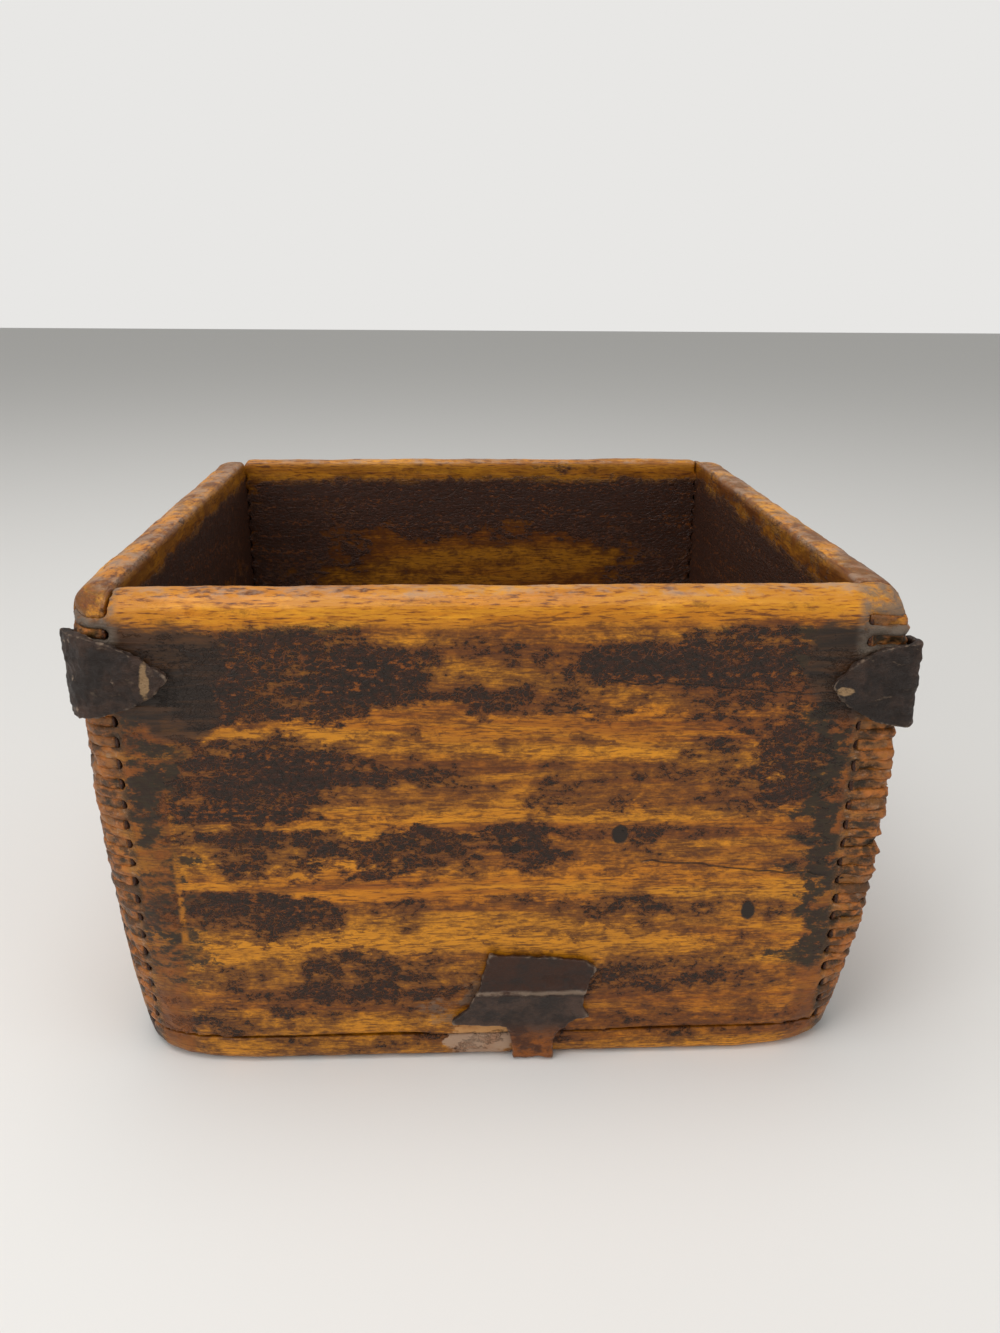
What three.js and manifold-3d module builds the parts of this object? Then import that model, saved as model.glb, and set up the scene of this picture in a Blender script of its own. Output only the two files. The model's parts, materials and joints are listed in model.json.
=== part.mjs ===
// A square wooden grain measure: four boards joined at the corners by fine interlocking fingers,
// a bottom board nailed on from beneath, an iron strap round each upper corner and the stub of
// another iron strap folded under the front edge. Millimetres, +Z up, front face towards -Y.
// The origin is the middle of the underside.
import * as THREE from 'three';
import { mergeVertices } from 'three/addons/utils/BufferGeometryUtils.js';
import Module from 'manifold-3d';

const wasm = await Module();
wasm.setup();

// The box. Inside it holds 137.6 x 137.6 x 95 mm, which is 1.8 litres.
const innerWidth = 137.6;
const wallThickness = 9;
const wallHeight = 95;
const bottomThickness = 6;
const seamGap = 0.3;

// The finger joints: the uppermost finger is thicker than the rest.
const fingerCount = 44;
const topFingerHeight = 4;
const fingerGap = 0.2;

// Wear. The rim and the lower edge are rounded, and the whole box is drawn in towards its base.
const rimRounding = 4.6;
const innerRimRounding = 1.4;
const lowerEdgeRounding = 2.2;
const wearPower = 1.6;
const sideWear = { left: 2.2, right: 1.2, front: 0.9, back: 0.9 };
const cornerWear = {
  front_right: { squareness: 90, squarenessAtBase: 9, wornBelow: 48 },
  back_right: { squareness: 26, squarenessAtBase: 9, wornBelow: 55 },
  back_left: { squareness: 40, squarenessAtBase: 10, wornBelow: 50 },
  front_left: { squareness: 17, squarenessAtBase: 8, wornBelow: 62 },
};

// The iron straps round the upper corners end in a leaf point on each face.
const strapThickness = 1.2;
const strapGap = 0.3;
const strapHalfHeight = 8.2;
const leafFullness = 0.8;
const leafSteps = 7;
const straps = {
  front_right: { belowRim: 17.5, reach: 15 },
  back_right: { belowRim: 17, reach: 18 },
  back_left: { belowRim: 16, reach: 18 },
  front_left: { belowRim: 15, reach: 19.5 },
};

// The stub of a strap that was folded round the lower front edge.
const stubThickness = 1;
const stubTop = 26;
const stubPlate = { left: -3, right: 20.5, bottom: 13 };
const stubTongue = { left: 4.6, right: 12.8 };
const stubFoot = 14;
const stubInsideBend = 0.6;
const stubSteps = 5;

// Nails through the bottom into the walls, and tacks through the straps.
const nailsPerSide = 3;
const nailSpacing = 44;
const nailShift = -5;
const nailInset = 2.6;
const nailHeadRadius = 1.6;
const nailHeadHeight = 0.9;
const nailHeadDepth = 0.3;
const nailRadius = 0.9;
const nailLength = 22;
const tackHeadRadius = 1.5;
const tackHeadHeight = 0.5;
const tackRadius = 0.7;
const tackLength = 6.5;
const tackReach = 0.6;
const pinGap = 0.3;

// The chip that is gone from the rim at the back left corner.
const chipWidth = 5;
const chipDepth = 3;
const chipReach = 2.2;

// How finely the curved surfaces are cut.
const cornerSteps = 9;
const arcSteps = 3;
const roundSides = 8;

const halfWidth = innerWidth / 2 + wallThickness;
const innerHalf = innerWidth / 2;
const top = bottomThickness + wallHeight;
const seat = bottomThickness + seamGap;
const margin = 4;

const cornerSigns = {
  front_right: [1, -1],
  back_right: [1, 1],
  back_left: [-1, 1],
  front_left: [-1, -1],
};
const cornerNames = Object.keys(cornerSigns);

const wood = () => new THREE.MeshStandardMaterial({ color: 0x9a6026, roughness: 0.5, metalness: 0 });
const baseWood = () => new THREE.MeshStandardMaterial({ color: 0x7d4a1e, roughness: 0.6, metalness: 0 });
const iron = () => new THREE.MeshStandardMaterial({ color: 0x4a3d36, roughness: 0.6, metalness: 0.7 });

// Solids in and out of the joining library.
function solidFrom(geometry) {
  const bare = geometry.clone();
  bare.deleteAttribute('normal');
  bare.deleteAttribute('uv');
  const merged = mergeVertices(bare, 1e-4);
  return new wasm.Manifold(new wasm.Mesh({
    numProp: 3,
    vertProperties: new Float32Array(merged.attributes.position.array),
    triVerts: new Uint32Array(merged.index.array),
  }));
}

function geometryFrom(solid) {
  const mesh = solid.getMesh();
  const geometry = new THREE.BufferGeometry();
  geometry.setAttribute('position', new THREE.BufferAttribute(new Float32Array(mesh.vertProperties), 3));
  geometry.setIndex(new THREE.BufferAttribute(new Uint32Array(mesh.triVerts), 1));
  geometry.computeVertexNormals();
  return geometry;
}

// An outline drawn in X and Z and carried along Y, or in Y and Z along X, or in X and Y along Z.
function prism(points, axis, from, to) {
  const shape = new THREE.Shape(points.map(([u, v]) => new THREE.Vector2(u, v)));
  const geometry = new THREE.ExtrudeGeometry(shape, { depth: to - from, bevelEnabled: false });
  if (axis === 'z') {
    return solidFrom(geometry.translate(0, 0, from));
  }
  geometry.rotateX(Math.PI / 2);
  if (axis === 'y') {
    return solidFrom(geometry.translate(0, to, 0));
  }
  return solidFrom(geometry.rotateZ(Math.PI / 2).translate(from, 0, 0));
}

function box(low, high) {
  const size = high.map((value, i) => value - low[i]);
  const middle = high.map((value, i) => (value + low[i]) / 2);
  return solidFrom(new THREE.BoxGeometry(...size).translate(...middle));
}

// Closed rings of points, one above the other, skinned and capped.
function loft(rings) {
  const count = rings[0].length;
  const positions = rings.flat(2);
  const index = [];
  for (let level = 0; level < rings.length - 1; level += 1) {
    for (let i = 0; i < count; i += 1) {
      const a = level * count + i;
      const b = level * count + (i + 1) % count;
      index.push(a, b, b + count, a, b + count, a + count);
    }
  }
  for (const level of [0, rings.length - 1]) {
    const centre = positions.length / 3;
    positions.push(0, 0, rings[level][0][2]);
    for (let i = 0; i < count; i += 1) {
      const a = level * count + i;
      const b = level * count + (i + 1) % count;
      index.push(...(level === 0 ? [centre, b, a] : [centre, a, b]));
    }
  }
  const geometry = new THREE.BufferGeometry();
  geometry.setAttribute('position', new THREE.Float32BufferAttribute(positions, 3));
  geometry.setIndex(index);
  return solidFrom(geometry);
}

// How worn a height is, from 0 where the wear starts to 1 at the base.
function wear(z, wornBelow) {
  return Math.max(0, 1 - z / wornBelow) ** wearPower;
}

// One level of the worn outline: each quarter is a superellipse, as square as its corner still is.
function wornRing(z, inset) {
  const ring = [];
  cornerNames.forEach((name, quarter) => {
    const corner = cornerWear[name];
    const [signX, signY] = cornerSigns[name];
    const worn = wear(z, corner.wornBelow);
    const squareness = 1 / (1 / corner.squareness
      + worn * (1 / corner.squarenessAtBase - 1 / corner.squareness));
    const halfX = halfWidth - worn * (signX < 0 ? sideWear.left : sideWear.right) - inset;
    const halfY = halfWidth - worn * (signY < 0 ? sideWear.front : sideWear.back) - inset;
    for (let step = 0; step < cornerSteps; step += 1) {
      const angle = (quarter - 1 + step / cornerSteps) * Math.PI / 2;
      const across = Math.abs(Math.cos(angle)) < 1e-9 ? 0 : Math.abs(Math.cos(angle)) ** (2 / squareness);
      const along = Math.abs(Math.sin(angle)) < 1e-9 ? 0 : Math.abs(Math.sin(angle)) ** (2 / squareness);
      ring.push([signX * halfX * across, signY * halfY * along, z]);
    }
  });
  return ring;
}

// The levels of the worn outline, with the lower edge and the rim rounded by quarter circles.
function wornLevels() {
  const levels = [];
  for (let step = 0; step <= arcSteps; step += 1) {
    const angle = step / arcSteps * Math.PI / 2;
    levels.push([lowerEdgeRounding * (1 - Math.cos(angle)), lowerEdgeRounding * (1 - Math.sin(angle))]);
  }
  const wornBelow = Math.max(...cornerNames.map((name) => cornerWear[name].wornBelow));
  for (const share of [0.16, 0.32, 0.5, 0.75, 1]) {
    levels.push([wornBelow * share, 0]);
  }
  for (let step = 0; step <= arcSteps; step += 1) {
    const angle = step / arcSteps * Math.PI / 2;
    levels.push([top - rimRounding * (1 - Math.sin(angle)), rimRounding * (1 - Math.cos(angle))]);
  }
  return levels;
}
const levels = wornLevels();
const wornSolid = loft(levels.map(([z, inset]) => wornRing(z, inset)));

// The inside corner of the rim is worn round too: this is what is taken off it.
function squareRing(z, half) {
  return [[half, -half, z], [half, half, z], [-half, half, z], [-half, -half, z]];
}
const innerRimCut = (() => {
  const rings = [squareRing(top - innerRimRounding - margin, innerHalf - margin)];
  for (let step = 0; step <= arcSteps; step += 1) {
    const angle = step / arcSteps * Math.PI / 2;
    const z = top - innerRimRounding * (1 - Math.sin(angle));
    rings.push(squareRing(z, innerHalf + innerRimRounding * (1 - Math.cos(angle))));
  }
  rings.push(squareRing(top + margin, innerHalf + innerRimRounding));
  return loft(rings);
})();

// The heights between the fingers, from the rim down.
const slotHeight = (top - seat - topFingerHeight) / (fingerCount - 1);
const slots = Array.from({ length: fingerCount }, (_, i) => ({
  high: i === 0 ? top + margin : top - topFingerHeight - (i - 1) * slotHeight,
  low: top - topFingerHeight - i * slotHeight,
}));

// A board's face: even slots are fingers at its right end, odd slots at its left end.
function boardOutline() {
  const root = innerHalf - fingerGap;
  const tip = halfWidth + margin;
  const half = fingerGap / 2;
  const right = [];
  const left = [];
  slots.forEach((slot, i) => {
    const first = i === 0;
    const last = i === fingerCount - 1;
    for (const [side, isFinger] of [[right, i % 2 === 0], [left, i % 2 === 1]]) {
      const shrink = isFinger ? half : -half;
      const reach = isFinger ? tip : root;
      side.push([reach, first ? slot.high : slot.high - shrink]);
      side.push([reach, last ? seat : slot.low + shrink]);
    }
  });
  return [...right, ...left.reverse().map(([x, z]) => [-x, z])];
}

const board = prism(boardOutline(), 'y', -halfWidth - margin, -innerHalf);
const quarterTurn = (solid, turns) => solid.rotate([0, 0, 90 * turns]);

// A pin that stands along Z with its head down, and the hole that takes it.
function pin(headRadius, headHeight, radius, length, spare) {
  const tipLength = radius * 2;
  const profile = [
    [0, -spare],
    [headRadius + spare, -spare],
    [headRadius + spare, headHeight + spare],
    [radius + spare, headHeight + spare],
    [radius + spare, length - tipLength + spare],
    [0, length + spare],
  ];
  const points = profile.map(([r, z]) => new THREE.Vector2(r, z));
  const geometry = new THREE.LatheGeometry(points, roundSides);
  geometry.rotateX(Math.PI / 2);
  return solidFrom(geometry);
}

// The nails run up through the bottom board into each wall, nearer its inner face.
const nailLine = innerHalf + nailInset;
const nailPlaces = [];
for (let side = 0; side < 4; side += 1) {
  for (let i = 0; i < nailsPerSide; i += 1) {
    const along = (i - (nailsPerSide - 1) / 2) * nailSpacing + nailShift;
    nailPlaces.push([side, along]);
  }
}
function nails(spare) {
  const nail = pin(nailHeadRadius, nailHeadHeight, nailRadius, nailLength, spare);
  return nailPlaces
    .map(([side, along]) => quarterTurn(nail.translate([along, -nailLine, nailHeadDepth]), side));
}
const joined = (solids) => solids.reduce((all, one) => all.add(one));

// A strap is a skin that follows the worn corner, cut to a leaf on each of its two faces.
function skin(gap, thickness) {
  const outer = loft(levels.map(([z, inset]) => wornRing(z, inset - gap - thickness)));
  return outer.subtract(loft(levels.map(([z, inset]) => wornRing(z, inset - gap))));
}
const strapSkin = skin(strapGap, strapThickness);

// Half the strap's height falls off from the corner to the tip in one full curve.
function leafOutline(sign, { belowRim, reach }) {
  const centre = top - belowRim;
  const above = [[halfWidth + margin, strapHalfHeight]];
  for (let step = 0; step <= leafSteps; step += 1) {
    const share = Math.sin(step / leafSteps * Math.PI / 2);
    const height = strapHalfHeight * Math.max(0, 1 - share ** 2) ** leafFullness;
    above.push([halfWidth - reach * share, step === leafSteps ? 0 : height]);
  }
  const below = above.slice(0, -1).reverse().map(([u, v]) => [u, -v]);
  return [...above, ...below].map(([u, v]) => [sign * u, centre + v]);
}

// The two faces of a corner: where its tacks go and which way they point.
function tackPlaces(name) {
  const [signX, signY] = cornerSigns[name];
  const { belowRim, reach } = straps[name];
  const along = halfWidth - reach * tackReach;
  const height = top - belowRim;
  return [
    { at: [signX * along, signY * halfWidth, height], turn: [signY > 0 ? 90 : -90, 0, 0] },
    { at: [signX * halfWidth, signY * along, height], turn: [0, signX > 0 ? -90 : 90, 0] },
  ];
}
const tackHeadLevel = strapGap + strapThickness;
function tacks(spare, names) {
  const tack = pin(tackHeadRadius, tackHeadHeight, tackRadius, tackLength, spare)
    .translate([0, 0, -tackHeadLevel]);
  return names
    .flatMap((name) => tackPlaces(name))
    .map(({ at, turn }) => tack.rotate(turn).translate(at));
}

// Each leg keeps to its own side of the corner's diagonal, so the two meet along the arris.
function cornerStrap(name) {
  const [signX, signY] = cornerSigns[name];
  const far = halfWidth + margin;
  const span = (sign) => (sign < 0 ? [-far, 0] : [0, far]);
  const wedge = (third) => prism([[0, 0], [signX * far, signY * far], third], 'z', 0, top);
  const legX = prism(leafOutline(signX, straps[name]), 'y', ...span(signY))
    .intersect(wedge([0, signY * far]));
  const legY = prism(leafOutline(signY, straps[name]), 'x', ...span(signX))
    .intersect(wedge([signX * far, 0]));
  return strapSkin.intersect(legX.add(legY)).subtract(joined(tacks(pinGap, [name])));
}

// The folded stub: a ribbon that comes down the front face, turns under and runs in below.
function frontAt(z) {
  const corner = cornerWear.front_right;
  const edge = z < lowerEdgeRounding
    ? lowerEdgeRounding - Math.sqrt(lowerEdgeRounding ** 2 - (lowerEdgeRounding - z) ** 2)
    : 0;
  return -halfWidth + wear(z, corner.wornBelow) * sideWear.front + edge;
}
function ribbonEdge(offset, floor) {
  const bend = stubInsideBend + stubThickness - floor;
  const bendTop = stubInsideBend + stubThickness;
  const points = [];
  for (let step = 0; step <= stubSteps; step += 1) {
    const z = stubTop + margin + (bendTop - stubTop - margin) * step / stubSteps;
    points.push([frontAt(z) - offset, z]);
  }
  const [startY, startZ] = points.at(-1);
  for (let step = 1; step <= stubSteps; step += 1) {
    const angle = step / stubSteps * Math.PI / 2;
    points.push([startY + bend * (1 - Math.cos(angle)), startZ - (startZ - floor) * Math.sin(angle)]);
  }
  points.push([-halfWidth + stubFoot, floor]);
  return points;
}
const stubRibbon = [
  ...ribbonEdge(strapGap + stubThickness, 0),
  ...ribbonEdge(strapGap, stubThickness).reverse(),
];
const stubFace = [
  [stubPlate.left + 2.6, stubTop + 0.3],
  [stubPlate.left + 0.4, stubTop - 7.6],
  [stubPlate.left - 2, stubPlate.bottom + 1],
  [stubPlate.left - 1, stubPlate.bottom - 1.2],
  [stubTongue.left, stubPlate.bottom - 2],
  [stubTongue.left, -margin],
  [stubTongue.right, -margin],
  [stubTongue.right, stubPlate.bottom - 5],
  [stubTongue.right + 1.4, stubPlate.bottom - 1.5],
  [stubPlate.right - 2, stubPlate.bottom + 0.6],
  [stubPlate.right - 1.6, stubPlate.bottom + 4],
  [stubPlate.right + 0.6, stubTop - 3.4],
  [stubPlate.right - 2, stubTop - 1.4],
  [stubPlate.right - 7, stubTop - 0.6],
];
const stub = prism(stubRibbon, 'x', stubPlate.left - margin, stubPlate.right + margin)
  .intersect(prism(stubFace, 'y', -halfWidth - margin, -halfWidth + stubFoot + margin));
const stubPocket = box(
  [stubTongue.left - pinGap, -halfWidth - margin, -margin],
  [stubTongue.right + pinGap, -halfWidth + stubFoot + pinGap, stubThickness + strapGap],
);

// The V of the missing chip, seen from the front.
const chip = prism([
  [-innerHalf + chipWidth / 2 - chipReach, top + margin],
  [-innerHalf - chipWidth / 2 - chipReach, top + margin],
  [-innerHalf - chipWidth / 2 - chipReach, top],
  [-innerHalf - chipReach, top - chipDepth],
  [-innerHalf + chipWidth / 2 - chipReach, top],
], 'y', innerHalf - fingerGap, halfWidth + margin);

const nailHoles = joined(nails(pinGap));
const tackHoles = joined(tacks(pinGap, cornerNames));
const measure = new THREE.Group();

function addPiece(name, solid, material) {
  const mesh = new THREE.Mesh(geometryFrom(solid), material);
  mesh.name = name;
  measure.add(mesh);
}

['front_board', 'right_board', 'back_board', 'left_board'].forEach((name, turns) => {
  const worn = quarterTurn(board, turns).intersect(wornSolid);
  const solid = worn.subtract(innerRimCut).subtract(nailHoles).subtract(tackHoles);
  addPiece(name, name === 'back_board' ? solid.subtract(chip) : solid, wood());
});

const bottomSlab = box(
  [-halfWidth - margin, -halfWidth - margin, -margin],
  [halfWidth + margin, halfWidth + margin, bottomThickness],
);
addPiece(
  'bottom_board',
  wornSolid.intersect(bottomSlab).subtract(nailHoles).subtract(stubPocket),
  baseWood(),
);
nails(0).forEach((nail, i) => addPiece(`bottom_nail_${i + 1}`, nail, iron()));
cornerNames.forEach((name) => addPiece(`corner_strap_${name}`, cornerStrap(name), iron()));
tacks(0, cornerNames).forEach((tack, i) => addPiece(`strap_tack_${i + 1}`, tack, iron()));
addPiece('bottom_strap_stub', stub, iron());

export default measure;
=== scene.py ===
import json
import math

import bpy
from mathutils import Matrix, Vector, noise

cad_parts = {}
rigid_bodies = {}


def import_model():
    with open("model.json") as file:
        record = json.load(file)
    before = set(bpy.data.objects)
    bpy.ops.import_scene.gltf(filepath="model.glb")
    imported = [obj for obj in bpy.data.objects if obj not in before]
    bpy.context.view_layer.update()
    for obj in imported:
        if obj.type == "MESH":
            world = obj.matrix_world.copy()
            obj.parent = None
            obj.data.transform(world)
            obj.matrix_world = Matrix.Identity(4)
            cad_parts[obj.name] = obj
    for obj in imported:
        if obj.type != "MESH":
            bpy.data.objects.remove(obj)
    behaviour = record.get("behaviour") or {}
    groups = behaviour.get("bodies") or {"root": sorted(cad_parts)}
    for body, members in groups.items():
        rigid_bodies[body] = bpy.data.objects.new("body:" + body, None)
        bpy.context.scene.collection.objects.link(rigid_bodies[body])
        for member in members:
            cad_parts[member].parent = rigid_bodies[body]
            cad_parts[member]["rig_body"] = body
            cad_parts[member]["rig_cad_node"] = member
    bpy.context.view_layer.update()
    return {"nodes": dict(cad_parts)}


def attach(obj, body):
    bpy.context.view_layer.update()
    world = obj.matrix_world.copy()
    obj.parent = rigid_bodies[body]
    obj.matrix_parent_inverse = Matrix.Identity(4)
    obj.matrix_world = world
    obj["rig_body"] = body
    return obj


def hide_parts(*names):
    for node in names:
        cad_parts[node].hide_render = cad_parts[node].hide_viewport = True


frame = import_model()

MM = 0.001

# The camera stands in front of the box and a little above the rim, as a person holds a phone.
# Its place and turn were worked out from the four inner corners of the rim.
IMAGE_HEIGHT = 1333
focal_pixels = 1083
camera_place = Vector((-8.2, -262.5, 154.7)) * MM
camera_down = math.radians(19.94)
camera_turn = math.radians(-2.92)
camera_roll = math.radians(0.475)
bpy.ops.object.camera_add()
camera = bpy.context.object
camera.name = "camera"
camera.data.lens = focal_pixels / IMAGE_HEIGHT * camera.data.sensor_width
camera.data.clip_start = 10 * MM
camera.matrix_world = (
    Matrix.Translation(camera_place)
    @ Matrix.Rotation(camera_turn, 4, "Z")
    @ Matrix.Rotation(math.radians(90) - camera_down, 4, "X")
    @ Matrix.Rotation(camera_roll, 4, "Z")
)
bpy.context.scene.camera = camera
bpy.context.scene.view_settings.view_transform = "Standard"


# Materials are written as sums on values: each value carries its socket and adds Math nodes.
# A finish holds one material, and makes any other node from its type, settings and sockets.
class Value:
    def __init__(self, finish, socket):
        self.finish = finish
        self.socket = socket

    def math(self, operation, *others):
        return self.finish.node("Math", {"operation": operation}, {0: self, **dict(enumerate(others, 1))})

    def __add__(self, other):
        return self.math("ADD", other)

    def __sub__(self, other):
        return self.math("SUBTRACT", other)

    def __mul__(self, other):
        return self.math("MULTIPLY", other)

    def __pow__(self, other):
        return self.math("POWER", other)

    def __rsub__(self, other):
        return self.math("MULTIPLY", -1).math("ADD", other)

    __radd__ = __add__
    __rmul__ = __mul__


sheen = 0.36


class Finish:
    def __init__(self, name):
        self.material = bpy.data.materials.new(name)
        self.material.use_nodes = True
        self.tree = self.material.node_tree
        self.shader = self.tree.nodes["Principled BSDF"]

    def put(self, socket, value):
        if isinstance(value, Value):
            self.tree.links.new(value.socket, socket)
        else:
            socket.default_value = value

    def node(self, kind, settings=None, inputs=None, output=0):
        made = self.tree.nodes.new("ShaderNode" + kind)
        for name, setting in (settings or {}).items():
            setattr(made, name, setting)
        for key, value in (inputs or {}).items():
            self.put(made.inputs[key], value)
        return Value(self, made.outputs[output])

    def place(self):
        return self.node("TexCoord", output="Object")

    def parts(self, vector):
        split = self.node("SeparateXYZ", inputs={0: vector})
        return [Value(self, split.socket.node.outputs[i]) for i in range(3)]

    def joined(self, x, y, z):
        return self.node("CombineXYZ", inputs={0: x, 1: y, 2: z})

    def stretched(self, vector, scale):
        return self.node("VectorMath", {"operation": "MULTIPLY"}, {0: vector, 1: scale})

    def noise(self, vector, scale, detail, roughness, distortion=0.0, output=0):
        sizes = {"Scale": scale, "Detail": detail, "Roughness": roughness, "Distortion": distortion}
        return self.node("TexNoise", inputs={"Vector": vector, **sizes}, output=output)

    def cracks(self, vector):
        settings = {"feature": "DISTANCE_TO_EDGE"}
        return self.node("TexVoronoi", settings, {"Vector": vector, "Scale": 1.0})

    def step(self, value, low, high, start=0.0, end=1.0):
        limits = {"Value": value, "From Min": low, "From Max": high, "To Min": start, "To Max": end}
        return self.node("MapRange", {"interpolation_type": "SMOOTHSTEP"}, limits)

    def mix(self, share, first, second):
        made = self.tree.nodes.new("ShaderNodeMix")
        made.data_type = "RGBA"
        for socket, value in zip((made.inputs[0], made.inputs[6], made.inputs[7]), (share, first, second)):
            self.put(socket, value)
        return Value(self, made.outputs[2])

    def bump(self, height, distance, strength):
        depth = {"Height": height, "Distance": distance, "Strength": strength}
        self.put(self.shader.inputs["Normal"], self.node("Bump", inputs=depth))

    def finish(self, color, roughness):
        self.put(self.shader.inputs["Base Color"], color)
        self.put(self.shader.inputs["Roughness"], roughness)
        self.put(self.shader.inputs["Specular IOR Level"], sheen)
        return self.material


def paint(red, green, blue):
    """A colour as it looks on a screen, 0 to 255, made linear."""
    return tuple(((part / 255 + 0.055) / 1.055) ** 2.4 for part in (red, green, blue)) + (1.0,)


# The floor is a wide pale sheet, lit softly from above, in front and the left. Past its far edge
# the camera sees a pale sky, while the light that falls on the box from there is dimmer.
floor_size = 6.0
floor_white = paint(226, 224, 221)
sky_seen = paint(232, 231, 229)
sky_light = paint(174, 174, 172)
bpy.ops.mesh.primitive_plane_add(size=floor_size, location=(0, 0, 0))
floor = bpy.context.object
floor.name = "floor"
floor_finish = Finish("pale_floor")
floor.data.materials.append(floor_finish.finish(floor_white, 0.55))

world = bpy.data.worlds.new("soft_daylight")
bpy.context.scene.world = world
world.use_nodes = True
daylight = world.node_tree.nodes["Background"]
seen = world.node_tree.nodes.new("ShaderNodeMix")
seen.data_type = "RGBA"
seen.inputs[6].default_value = sky_light
seen.inputs[7].default_value = sky_seen
light_path = world.node_tree.nodes.new("ShaderNodeLightPath")
world.node_tree.links.new(light_path.outputs["Is Camera Ray"], seen.inputs[0])
world.node_tree.links.new(seen.outputs[2], daylight.inputs["Color"])


def lamp(name, place, size, power):
    bpy.ops.object.light_add(type="AREA", location=place)
    light = bpy.context.object
    light.name = name
    light.data.size = size
    light.data.energy = power
    aim = Vector((0, 0, 0.05)) - Vector(place)
    light.rotation_euler = aim.to_track_quat("-Z", "Y").to_euler()


lamp("ceiling_light", (-0.15, -0.1, 0.9), 0.7, 5.2)
lamp("window_light", (-0.8, -0.7, 0.6), 0.6, 4)
lamp("fill_light", (0.8, -0.6, 0.4), 0.7, 2)

# The four walls are boards of one straight-grained wood, amber with old lacquer that has darkened
# and crackled where hands did not rub it off. Fine fingers join them at the corners, and the wear
# there has scooped out every second finger and left thin ridges between.
half_width = 77.8
inner_half = 68.8
wall_thickness = half_width - inner_half
rim_height = 101.0
top_finger = 4.0
finger = 2.109
board_grain = 0.7
scoop_depth = {(1, -1): 1.05, (-1, -1): 0.55, (1, 1): 0.8, (-1, 1): 0.6}
scoop_width = 0.65
least_scoop = 0.15
finger_swell = 0.3
rim_fall = 1.5
corner_softness = 0.5


def select_only(*pieces):
    bpy.ops.object.select_all(action="DESELECT")
    for piece in pieces:
        piece.select_set(True)
    bpy.context.view_layer.objects.active = pieces[0]


def duplicate(node):
    select_only(frame["nodes"][node])
    bpy.ops.object.duplicate()
    piece = bpy.context.object
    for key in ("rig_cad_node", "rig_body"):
        if key in piece:
            del piece[key]
    piece.data.materials.clear()
    return piece


def even_grid(piece, name, grain):
    """Merges the loose corners of a solid and cuts its surface into an even fine grid."""
    select_only(piece)
    piece.name = name
    bpy.ops.object.mode_set(mode="EDIT")
    bpy.ops.mesh.select_all(action="SELECT")
    bpy.ops.mesh.remove_doubles(threshold=0.01 * MM)
    bpy.ops.object.mode_set(mode="OBJECT")
    remesh = piece.modifiers.new("grid", "REMESH")
    remesh.mode = "VOXEL"
    remesh.voxel_size = grain * MM
    bpy.ops.object.modifier_apply(modifier=remesh.name)
    bpy.ops.object.shade_smooth()
    return piece


def dress(piece, material, slot, *nodes):
    """Gives a piece its material and puts it in the place of the solids that it stands for."""
    piece.data.materials.append(material)
    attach(piece, "root")
    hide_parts(*nodes)


def ease(value, low, high):
    share = min(1.0, max(0.0, (value - low) / (high - low)))
    return share * share * (3 - 2 * share)


def lump(point, scale, seed=0.0):
    return noise.noise(Vector((point.x * scale + seed, point.y * scale, point.z * scale)))


def joint_wear(point, out):
    """How far in the fingers are worn at a point in millimetres, and how far they swell shut."""
    signs = (1 if point.x > 0 else -1, 1 if point.y > 0 else -1)
    from_side = max(0.0, half_width - abs(point.x))
    from_face = max(0.0, half_width - abs(point.y))
    inward = max(from_side, from_face) + lump(point, 0.45, 3.0) * 1.6
    zone = ease(inward, wall_thickness + 0.8, wall_thickness - 1.4)
    if zone == 0:
        return Vector((0, 0, 0))
    end_on = 0 if signs[0] * signs[1] < 0 else 1
    slot = (rim_height - top_finger - point.z) / finger + 0.5 + lump(point, 0.12, 11.0) * 0.25
    scoop = abs(math.sin((slot - end_on) * math.pi / 2)) ** scoop_width
    fade = ease(point.z, 98.5, 95.0) * ease(point.z, 5.0, 24.0)
    uneven = 0.75 + 1.3 * lump(point, 0.17, signs[0] * 7.0) + 0.9 * lump(point, 0.5, 21.0)
    depth = scoop_depth[signs] * zone * scoop * fade * max(least_scoop, uneven)
    way = Vector((
        -signs[0] * (from_face + corner_softness),
        -signs[1] * (from_side + corner_softness),
        0,
    ))
    shut = out.z * finger_swell * ease(point.z, 7.2, 8.2) * ease(point.z, 99.6, 98.4)
    return way.normalized() * depth + Vector((0, 0, shut))


def outward(piece):
    """The way out of the surface at every point, noted before any of them is moved."""
    return [vertex.normal.copy() for vertex in piece.data.vertices]


def corner_fall(point):
    """The rim falls away towards each outer corner."""
    near = ease(min(abs(point.x), abs(point.y)), 66, half_width) * ease(point.z, 91, rim_height)
    return Vector((-math.copysign(near, point.x), -math.copysign(near, point.y), -near)) * rim_fall


def worn(piece, wander, pits):
    """Moves every point of a piece a little: slow waves, small dents and the scooped fingers."""
    for vertex, out in zip(piece.data.vertices, outward(piece)):
        point = vertex.co / MM
        outside = ease(max(abs(point.x), abs(point.y)), 70.5, 74.0)
        slow = lump(point, 0.05) * wander + lump(point, 0.16, 5.0) * wander * 0.6
        rim = ease(point.z, 95.5, 99.0) * lump(point, 0.09, 9.0) * 0.25
        small = lump(point, 0.8, 3.0) * pits + lump(point, 0.35, 8.0) * pits
        move = out * (slow * outside + rim + small - 0.1) + corner_fall(point)
        vertex.co += (move + joint_wear(point, out)) * MM


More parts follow.
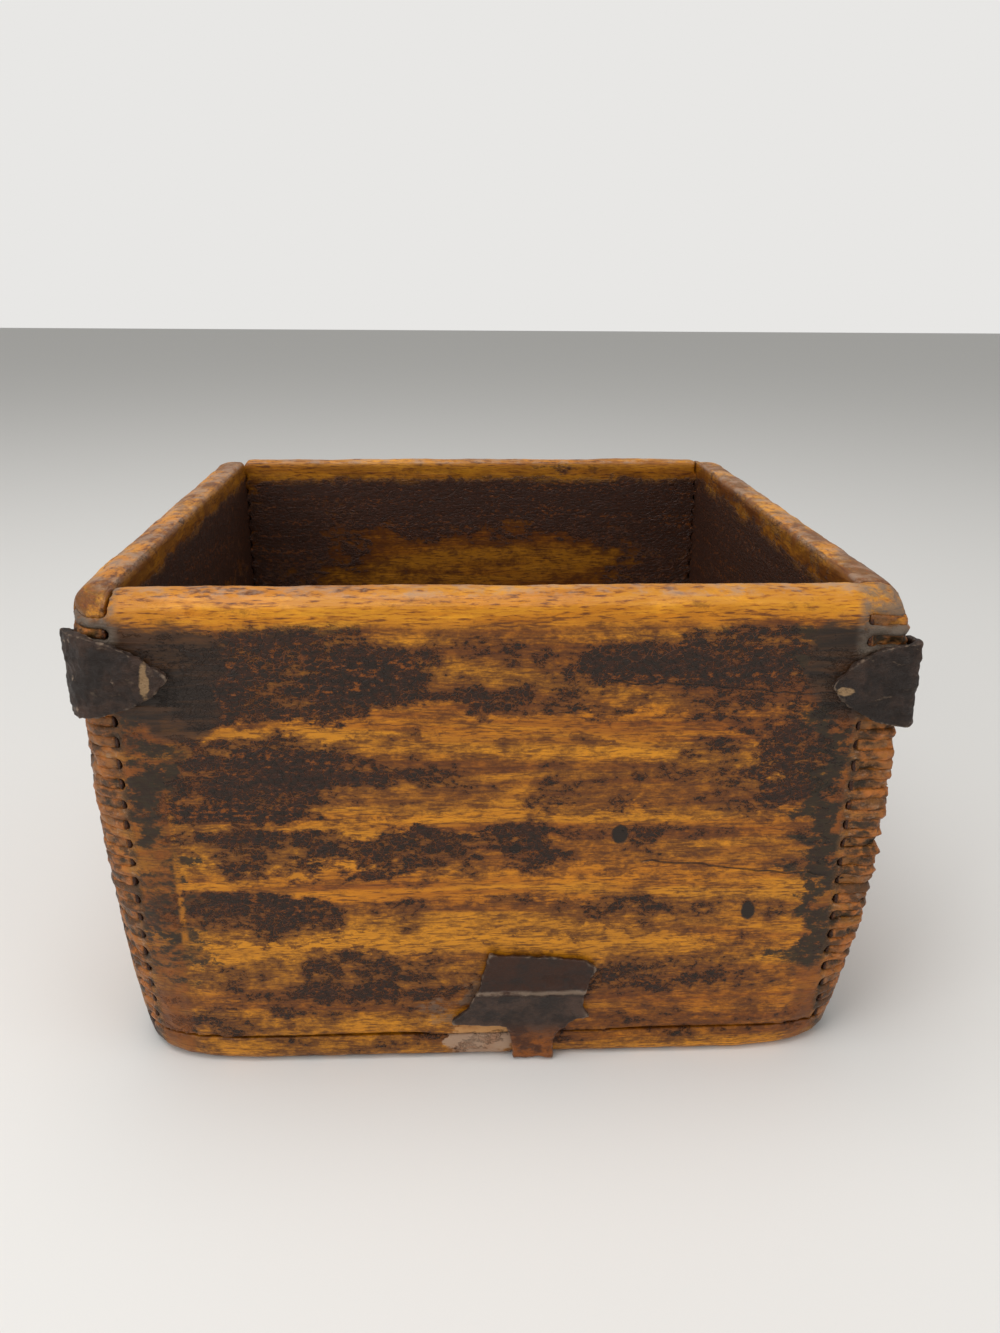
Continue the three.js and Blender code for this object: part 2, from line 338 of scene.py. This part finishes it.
amber = paint(200, 122, 10)
pale_amber = paint(224, 152, 30)
deep_amber = paint(146, 78, 6)
brown = paint(78, 38, 8)
lacquer = paint(54, 26, 8)
charcoal = paint(34, 21, 10)
crack_orange = paint(140, 74, 18)
end_grain = paint(138, 90, 44)
end_grain_dark = paint(70, 44, 22)
ridge = paint(184, 106, 38)
joint_tan = paint(128, 88, 44)
# This grey-pink is painted highlight on the joint ridges, the end grain and the flat top of the rim, and
# also the grey of the bared wood low on the front, under the bottom seam.
grey_pink_highlight_and_wear = paint(168, 138, 114)
weathered_grey = paint(104, 92, 80)
bare_wood = paint(194, 142, 86)
olive_grime = paint(38, 31, 14)
inside_brown = paint(66, 32, 16)


def ellipse(along, up, centre, height, half_length, half_height):
    """Below 1 inside an oval patch on a board, measured in millimetres from its middle."""
    across = ((along - centre * MM) * (1 / (half_length * MM))) ** 2.0
    rise = ((up - height * MM) * (1 / (half_height * MM))) ** 2.0
    return across + rise


def block(finish, along, up, centre, height, half_length, half_height, soft):
    """Near 1 inside a patch with square sides."""
    across = (along - centre * MM).math("ABSOLUTE")
    rise = (up - height * MM).math("ABSOLUTE")
    return finish.step(across, (half_length + soft) * MM, (half_length - soft) * MM) \
        * finish.step(rise, (half_height + soft) * MM, (half_height - soft) * MM)


def crack_line(finish, along, up, start, end, width, wobble):
    slope = (end[1] - start[1]) / (end[0] - start[0])
    path = (along - start[0] * MM) * slope + start[1] * MM + (wobble - 0.5) * 0.004
    near = finish.step((up - path).math("ABSOLUTE"), width * MM, 0.0)
    return near * finish.step(along, start[0] * MM, start[0] * MM + 0.004) \
        * finish.step(along, end[0] * MM, end[0] * MM - 0.004)


class Board(Finish):
    """The finish of one board, built up in layers as the wood, its lacquer and its wear are, with painted
    highlights and painted shade.
    """

    def __init__(self, name, lengthwise, seed):
        super().__init__(name)
        x, y, self.up = self.parts(self.place())
        self.along, self.depth = (x, y) if lengthwise == "x" else (y, x)
        self.spot = self.joined(self.along + seed, self.depth + seed, self.up)
        self.bands = self.noise(self.stretched(self.spot, (8.0, 20.0, 95.0)), 1.0, 4.0, 0.6, 0.6)
        self.grain = self.noise(self.stretched(self.spot, (22.0, 60.0, 420.0)), 1.0, 6.0, 0.65, 0.5)
        self.dashes = self.noise(self.stretched(self.spot, (330.0, 700.0, 2600.0)), 1.0, 3.0, 0.6)
        self.blotch = self.noise(self.stretched(self.spot, (60.0, 60.0, 105.0)), 1.0, 9.0, 0.76, 0.4)
        self.mottle = self.noise(self.stretched(self.spot, (190.0, 190.0, 330.0)), 1.0, 7.0, 0.72)
        self.flecks = self.noise(self.stretched(self.spot, (700.0, 700.0, 1150.0)), 1.0, 4.0, 0.7)
        waves = self.stretched(self.spot, (70.0, 70.0, 130.0))
        drift = self.parts(self.noise(waves, 1.0, 7.0, 0.74, output="Color"))
        self.drifted = (self.along + (drift[0] - 0.5) * 0.055, self.up + (drift[2] - 0.5) * 0.022)
        self.crazing = self.cracks(self.stretched(self.spot, (760.0, 760.0, 1150.0)))
        facing = self.parts(self.node("NewGeometry", output="Normal"))
        self.end_on = (facing[0] if lengthwise == "x" else facing[1]).math("ABSOLUTE")
        self.sharp = self.node("NewGeometry", output="Pointiness")
        self.inner = self.step(self.depth.math("ABSOLUTE"), 0.0700, 0.0695)
        ragged = (self.blotch - 0.5) * 0.006
        self.near_rim = self.step(self.up + ragged * 2.0, 0.0940, 0.0972)
        at_end = self.step(self.along.math("ABSOLUTE") + ragged * 0.6, 0.0675, 0.0692)
        self.in_joint = at_end * (1 - self.inner)

    def bare(self):
        wood = self.mix(self.step(self.grain, 0.36, 0.66), amber, deep_amber)
        wood = self.mix(self.step(self.bands, 0.56, 0.40) * 0.5, wood, pale_amber)
        wood = self.mix(self.step(self.dashes, 0.48, 0.66) * 0.75, wood, brown)
        return self.mix(self.step(self.mottle, 0.52, 0.74) * 0.55, wood, brown)

    def lacquered(self, wood, patches, darker):
        pull = self.inner * darker - self.near_rim * 1.1 - self.in_joint * 0.6
        for centre, height, half_length, half_height, strength in patches:
            span = ellipse(*self.drifted, centre, height, half_length, half_height)
            pull = self.step(span, 1.7, 0.4, 0.0, strength * 0.8) + pull
        score = (self.blotch - 0.5) * 3.2 + (self.bands - 0.5) * 2.6 + (self.mottle - 0.5) * 2.4
        score = score + (self.flecks - 0.5) * 1.2 + pull
        self.coat = self.step(score, 0.34, 0.58)
        stain = self.step(score, -0.70, 0.36)
        film = self.mix(self.step(self.flecks, 0.42, 0.60), lacquer, charcoal)
        lines = self.step(self.crazing, 0.07, 0.0) * self.step(score, 1.1, 0.3)
        film = self.mix(lines * 0.75, film, crack_orange)
        peeled = self.step(self.flecks + (self.grain - 0.5) * 0.6, 0.42, 0.32)
        film = self.mix(peeled * 0.7, film, deep_amber)
        return self.mix(self.coat, self.mix(stain * 0.85, wood, brown), film)

    def jointed(self, color):
        cut = self.mix(self.step(self.mottle, 0.40, 0.60), end_grain, end_grain_dark)
        # Pale grey-pink flecks on the end grain are painted highlights.
        cut = self.mix(self.step(self.flecks, 0.58, 0.72) * 0.6, cut, grey_pink_highlight_and_wear)
        color = self.mix(self.in_joint * 0.6, color, joint_tan)
        color = self.mix(self.step(self.mottle, 0.42, 0.60) * self.in_joint * 0.65, color, brown)
        # Grey-pink flecks over the whole joint are painted highlights.
        color = self.mix(self.step(self.flecks, 0.54, 0.66) * self.in_joint * 0.55, color, grey_pink_highlight_and_wear)
        color = self.mix(self.in_joint * self.step(self.end_on, 0.4, 0.75) * 0.9, color, cut)
        # The convex ridges get the orange of rubbed wood as wear, and grey-pink painted highlights on part
        # of them.
        ridge_wear_and_highlight = self.step(self.sharp, 0.515, 0.56) * self.in_joint
        color = self.mix(ridge_wear_and_highlight * self.step(self.blotch, 0.36, 0.60), color, ridge)
        color = self.mix(ridge_wear_and_highlight * self.step(self.blotch, 0.44, 0.34) * 0.8, color, grey_pink_highlight_and_wear)
        grimy = self.step(self.blotch + self.mottle, 0.98, 1.12) * self.in_joint
        color = self.mix(grimy * 0.8, color, olive_grime)
        # The concave hollows between the fingers are painted charcoal: painted shade in the gaps.
        return self.mix(self.step(self.sharp, 0.485, 0.455) * self.in_joint, color, charcoal)

    def rim_wear_and_highlight(self, color, darkened):
        bright = self.mix(self.step(self.grain, 0.36, 0.64), pale_amber, amber)
        bright = self.mix(self.step(self.blotch, 0.60, 0.44) * darkened, bright, brown)
        bright = self.mix(self.step(self.dashes, 0.48, 0.68) * 0.8, bright, deep_amber)
        bright = self.mix(self.step(self.grain + self.dashes, 1.06, 1.24) * 0.8, bright, brown)
        bright = self.mix(self.step(self.mottle, 0.56, 0.72) * 0.6, bright, brown)
        share = self.near_rim * self.step(self.blotch, 0.70, 0.52) * (1 - self.inner * 0.5)
        color = self.mix(share, color, bright)
        # The bright band below the rim is worn wood; the flat top of the rim gets grey-pink patches as
        # painted highlight.
        flat_top = self.step(self.up, 0.0998, 0.1006)
        return self.mix(flat_top * self.step(self.mottle, 0.44, 0.62) * 0.6, color, grey_pink_highlight_and_wear)

    def relief(self):
        film = self.step(self.crazing, 0.0, 0.10) * 0.5 + self.flecks * 0.6 + self.mottle * 0.5
        rough_joint = (self.mottle * 2.2 + self.flecks) * self.in_joint
        return self.grain * 0.35 + self.dashes * 0.3 + film * self.coat + rough_joint

    def done(self, color, height):
        self.bump(height, 0.00035, 0.85)
        return self.finish(color, self.coat * 0.10 + 0.32 + self.dashes * 0.14 + self.mottle * 0.1)


def plain_board(name, lengthwise, seed, patches, darker, rim_darkened):
    board = Board(name, lengthwise, seed)
    color = board.lacquered(board.bare(), patches, darker)
    color = board.mix(board.inner * 0.45, color, inside_brown)
    color = board.rim_wear_and_highlight(board.jointed(color), rim_darkened)
    return board.done(color, board.relief())


# On the front the lacquer ends in a straight line beside each joint, with grime gathered there
# and soot-black wood round the two straps. Two cracks, three knots and a rubbed patch mark it.
face_left = -60.5
face_right = 62.5
grime_strips = ((-65.0, 52, 4.5, 33, 1.14), (65.4, 60, 3.6, 38, 1.34))
bright_seam = (-60.6, 46, 0.6, 17)
soot = ((-64, 89, 15, 9.5), (-57, 80, 7, 6), (68, 87, 9, 10))
grey_fingers = ((-73, 97, 6, 5), (73, 95, 6, 6))
cracks = (((20, 84.7), (66, 81.3), 0.22), ((27, 47.2), (68, 42.6), 0.28))
knots = ((24.8, 52.8, 1.7, 2.2), (4.4, 49.9, 1.2, 1.0), (51.5, 34.9, 1.5, 2.2))
rubbed_patch = (-2.0, 5.2, 6.8, 5.6)
smear = (-6.0, 14.0, 6.0, 6.0)


def front_finish(name, seed, patches, darker):
    board = Board(name, "x", seed)
    along, up = board.along, board.up
    color = board.lacquered(board.bare(), patches, darker)
    ragged = (board.mottle - 0.5) * 0.004
    outside = board.step(along + ragged, face_left * MM, (face_left - 1) * MM) \
        + board.step(along + ragged, face_right * MM, (face_right + 1) * MM)
    front = outside * (1 - board.inner) * (1 - board.in_joint)
    strip = board.mix(board.step(board.mottle, 0.40, 0.62), brown, deep_amber)
    color = board.mix(front * 0.6, color, strip)
    dirt = board.mix(board.step(board.flecks, 0.40, 0.62), olive_grime, charcoal)
    for centre, height, half_length, half_height, hold in grime_strips:
        share = block(board, *board.drifted, centre, height, half_length, half_height, 1.6)
        share = share * board.step(board.blotch + board.mottle, hold, hold - 0.2)
        color = board.mix(share * (1 - board.inner) * 0.95, color, dirt)
    seam = block(board, along + ragged * 0.3, up, *bright_seam, 0.4)
    color = board.mix(seam * board.step(board.mottle, 0.54, 0.42) * (1 - board.inner) * 0.6, color, amber)
    color = board.jointed(color)
    black = 0.0
    for centre, height, half_length, half_height in soot:
        span = ellipse(along, up, centre, height, half_length, half_height)
        black = board.step(span + (board.blotch - 0.5) * 1.8, 1.5, 0.9) + black
    sooty = board.mix(board.step(board.grain, 0.44, 0.62), charcoal, end_grain_dark)
    color = board.mix(black * (1 - board.inner) * 0.9, color, sooty)
    color = board.rim_wear_and_highlight(color, 0.25)
    for centre, height, half_length, half_height in grey_fingers:
        share = block(board, along, up, centre, height, half_length, half_height, 1.0)
        share = share * board.step(board.mottle, 0.34, 0.56) * board.step(board.sharp, 0.47, 0.50)
        color = board.mix(share * (1 - board.inner) * 0.8, color, weathered_grey)
    height = board.relief() + black * board.grain * 0.9
    wobble = board.noise(board.stretched(board.spot, (90.0, 1.0, 1.0)), 1.0, 3.0, 0.55)
    for start, end, width in cracks:
        line = crack_line(board, along, up, start, end, width, wobble)
        color = board.mix(line * 0.75, color, charcoal)
        height = height - line * 1.6
    for centre, rise, half_length, half_height in knots:
        span = ellipse(along, up, centre, rise, half_length, half_height)
        share = board.step(span + (board.flecks - 0.5) * 1.2, 1.1, 0.6)
        color = board.mix(share, color, charcoal)
        height = height - share * 0.8
    shadow = ellipse(*board.drifted, *smear) + (board.mottle - 0.5) * 3.4
    color = board.mix(board.step(shadow, 1.2, 0.2) * 0.5, color, weathered_grey)
    drifted = (board.drifted[0] * 0.3 + along * 0.7, board.drifted[1] * 0.3 + up * 0.7)
    pale = ellipse(*drifted, *rubbed_patch) + (board.mottle - 0.5) * 1.6
    fresh = board.mix(board.step(up, 0.0066, 0.0058), bare_wood, grey_pink_highlight_and_wear)
    fresh = board.mix(board.step(board.mottle, 0.46, 0.66) * 0.4, fresh, deep_amber)
    color = board.mix(board.step(pale, 1.1, 0.8) * 0.92, color, fresh)
    return board.done(color, height)


# Each patch of lacquer is its middle along the board, its height, its half length, its half
# height and how strongly it holds the lacquer, or keeps it off where the number is below zero.
front_patches = [
    (-38, 87, 25, 9, 1.05), (-42, 66, 20, 9, 0.95), (-34, 50, 26, 4.6, 0.9), (5, 51, 10, 4, 0.7),
    (29, 88, 11, 5, 0.75), (49, 91, 13, 9, 0.75), (57, 67, 9, 8, 0.9), (-45, 35, 17, 6, 0.75),
    (-33, 21, 28, 6, 0.5), (40, 38, 18, 5, 0.4), (-52, 10, 9, 4, 0.6), (38, 22, 22, 4, 0.4),
    (10, 66, 30, 8, 0.15), (0, 84, 30, 8, 0.3), (40, 58, 20, 8, 0.2),
    (5, 76, 62, 2.2, -0.75), (15, 55.5, 52, 2.2, -0.7), (0, 42, 64, 2.8, -0.7),
    (52, 15, 18, 6, -0.6), (-4, 29, 58, 1.2, -0.7),
]
back_patches = [
    (0, 90, 66, 9, 0.75), (-60, 50, 10, 42, 0.6), (62, 50, 9, 42, 0.6), (6, 66, 40, 13, -0.9),
    (-30, 76, 14, 7, -0.4),
]
side_patches = [
    (-45, 84, 22, 9, 0.8), (-20, 64, 34, 12, 0.55), (30, 44, 28, 11, 0.6), (48, 22, 18, 8, 0.5),
    (0, 74, 60, 2.4, -0.6), (8, 54, 58, 2.4, -0.6), (-30, 30, 30, 5, -0.5),
]
finishes = {
    "front": front_finish("front_lacquer", 0.0, front_patches, 0.9),
    "back": plain_board("back_lacquer", "x", 0.73, back_patches, 0.55, 0.5),
    "left": plain_board("left_lacquer", "y", 1.31, side_patches, 1.1, 0.85),
    "right": plain_board("right_lacquer", "y", 2.17, side_patches, 1.1, 0.85),
}
for side, board_lacquer in finishes.items():
    wall = even_grid(duplicate(side + "_board"), side + "_wall", board_grain)
    worn(wall, 0.2, 0.07)
    dress(wall, board_lacquer, "board_wood", side + "_board")

# The bottom is a thinner board nailed on from beneath. Its lower edge is worn round, and its face
# inside has gone nearly black.
bottom_grain = 0.85
bottom_patches = [(-30, 3, 30, 8, 0.4), (40, 3, 30, 8, 0.1)]
bottom = even_grid(duplicate("bottom_board"), "bottom", bottom_grain)
worn(bottom, 0.2, 0.05)
bottom_lacquer = front_finish("bottom_lacquer", 0.0, bottom_patches, 1.4)
dress(bottom, bottom_lacquer, "bottom_wood", "bottom_board")

# The corner straps are hand-cut iron sheet, bent round the corner, blackened and pitted, each held
# by two small tacks whose heads have been hammered flat and have rusted into the sheet.
strap_grain = 0.3
tack_spread = 1.45
iron_dark = paint(36, 25, 19)
iron_brown = paint(66, 46, 35)
iron_pale = paint(128, 108, 90)
iron_tan = paint(160, 128, 90)
corners = ("front_right", "back_right", "back_left", "front_left")
tan_marks = ((-62.4, 85.6, 0.9, 3.4), (65.0, 82.6, 1.6, 0.8))


def iron_finish(name, marks=()):
    finish = Finish(name)
    spot = finish.place()
    cloud = finish.noise(spot, 160.0, 7.0, 0.7)
    pits = finish.noise(spot, 900.0, 4.0, 0.7)
    scale = finish.noise(finish.stretched(spot, (1.0, 1.0, 2.4)), 300.0, 6.0, 0.72)
    color = finish.mix(finish.step(cloud, 0.40, 0.64), iron_dark, iron_brown)
    edge = finish.node("NewGeometry", output="Pointiness")
    color = finish.mix(finish.step(edge, 0.53, 0.58) * finish.step(scale, 0.36, 0.56), color, iron_pale)
    color = finish.mix(finish.step(scale, 0.60, 0.72) * 0.5, color, iron_pale)
    x, y, up = finish.parts(spot)
    for mark in marks:
        span = ellipse(x, up, *mark) + (scale - 0.5) * 3.0
        share = finish.step(span, 1.2, 0.6) * finish.step(y, 0.0, -0.010)
        color = finish.mix(share * 0.85, color, iron_tan)
    color = finish.mix(finish.step(pits, 0.58, 0.70) * 0.6, color, charcoal)
    finish.put(finish.shader.inputs["Metallic"], finish.step(scale, 0.45, 0.65) * 0.2)
    finish.bump(scale * 1.1 + pits * 0.5 + cloud * 0.6, 0.0009, 1.0)
    return finish.finish(color, scale * 0.3 + 0.38)


def tack_head(number):
    """A copy of a tack, widened across its length so that its head closes the hole round it."""
    tack = duplicate(f"strap_tack_{number}")
    size = tack.dimensions
    axis = max(range(3), key=lambda i: size[i])
    middle = sum((vertex.co for vertex in tack.data.vertices), Vector()) / len(tack.data.vertices)
    for vertex in tack.data.vertices:
        for i in range(3):
            if i != axis:
                vertex.co[i] = middle[i] + (vertex.co[i] - middle[i]) * tack_spread
    return tack


def beaten(piece, dent):
    """Moves the points of a sheet a little, as hammer and rust have."""
    for vertex, out in zip(piece.data.vertices, outward(piece)):
        point = vertex.co / MM
        vertex.co += out * (lump(point, 0.35, 2.0) * dent + lump(point, 1.1) * dent * 0.4) * MM


strap_iron = iron_finish("strap_iron_black", tan_marks)
for i, corner in enumerate(corners):
    tack_numbers = (2 * i + 1, 2 * i + 2)
    heads = [tack_head(number) for number in tack_numbers]
    sheet = duplicate("corner_strap_" + corner)
    select_only(sheet, *heads)
    bpy.ops.object.join()
    strap = even_grid(sheet, "strap_" + corner, strap_grain)
    beaten(strap, 0.5)
    tack_names = [f"strap_tack_{number}" for number in tack_numbers]
    dress(strap, strap_iron, "strap_iron", "corner_strap_" + corner, *tack_names)

# The stub at the lower front edge is what is left of a thinner strap of the same iron: a torn
# sheet with a crease across it, folded under the bottom.
crease_height = 17.4
crease_spread = 1.5
crease_depth = 0.55
plate_drop = 2.2
tongue_middle = 8.7
tongue_flare = 0.3
stub_brown = paint(72, 52, 41)


def stub_finish():
    finish = Finish("stub_iron")
    spot = finish.place()
    x, y, up = finish.parts(spot)
    cloud = finish.noise(finish.stretched(spot, (1.0, 1.0, 1.6)), 200.0, 7.0, 0.7)
    pits = finish.noise(spot, 900.0, 4.0, 0.7)
    # The plate is painted darker above the crease than below it, as painted shade on the upper half that
    # slants back.
    color = finish.mix(finish.step(cloud, 0.40, 0.70), lacquer, iron_dark)
    lower = finish.mix(finish.step(cloud, 0.38, 0.66), iron_dark, stub_brown)
    color = finish.mix(finish.step(up + (cloud - 0.5) * 0.003, 0.0172, 0.0160), color, lower)
    fade = finish.step(up + (cloud - 0.5) * 0.008, 0.0105, 0.0045)
    stained = finish.mix(finish.step(cloud, 0.42, 0.58), brown, deep_amber)
    color = finish.mix(fade * 0.85, color, stained)
    # A pale line along the crease is painted highlight, where its ridge catches the light.
    from_crease = (up - crease_height * MM + (cloud - 0.5) * 0.001).math("ABSOLUTE")
    line = finish.step(from_crease, 0.0008, 0.0002)
    color = finish.mix(line * finish.step(cloud, 0.34, 0.52) * 0.8, color, iron_pale)
    edge = finish.node("NewGeometry", output="Pointiness")
    frayed = finish.step(edge, 0.53, 0.58) * finish.step(cloud, 0.40, 0.58)
    color = finish.mix(frayed * 0.8, color, iron_pale)
    finish.bump(cloud * 0.8 + pits * 0.3 + line * 0.5, 0.0006, 0.9)
    return finish.finish(color, cloud * 0.2 + 0.34)


stub = even_grid(duplicate("bottom_strap_stub"), "folded_stub", strap_grain)
beaten(stub, 0.4)
for vertex in stub.data.vertices:
    height = vertex.co.z / MM
    stand = crease_depth * math.exp(-(((height - crease_height) / crease_spread) ** 2))
    vertex.co.y -= stand * MM
    vertex.co.z -= plate_drop * ease(height, 17.0, 13.0) * ease(height, 6.0, 11.0) * MM
    flare = tongue_flare * ease(height, 2.0, 10.0) * ease(height, 15.0, 12.0)
    vertex.co.x += (vertex.co.x - tongue_middle * MM) * flare
dress(stub, stub_finish(), "strap_iron", "bottom_strap_stub")

# Nails of rusted iron hold the bottom on, their heads hammered flush.
nail_finish = iron_finish("nail_iron_rusted")
for node, piece in frame["nodes"].items():
    if node.startswith("bottom_nail"):
        piece.data.materials.clear()
        piece.data.materials.append(nail_finish)
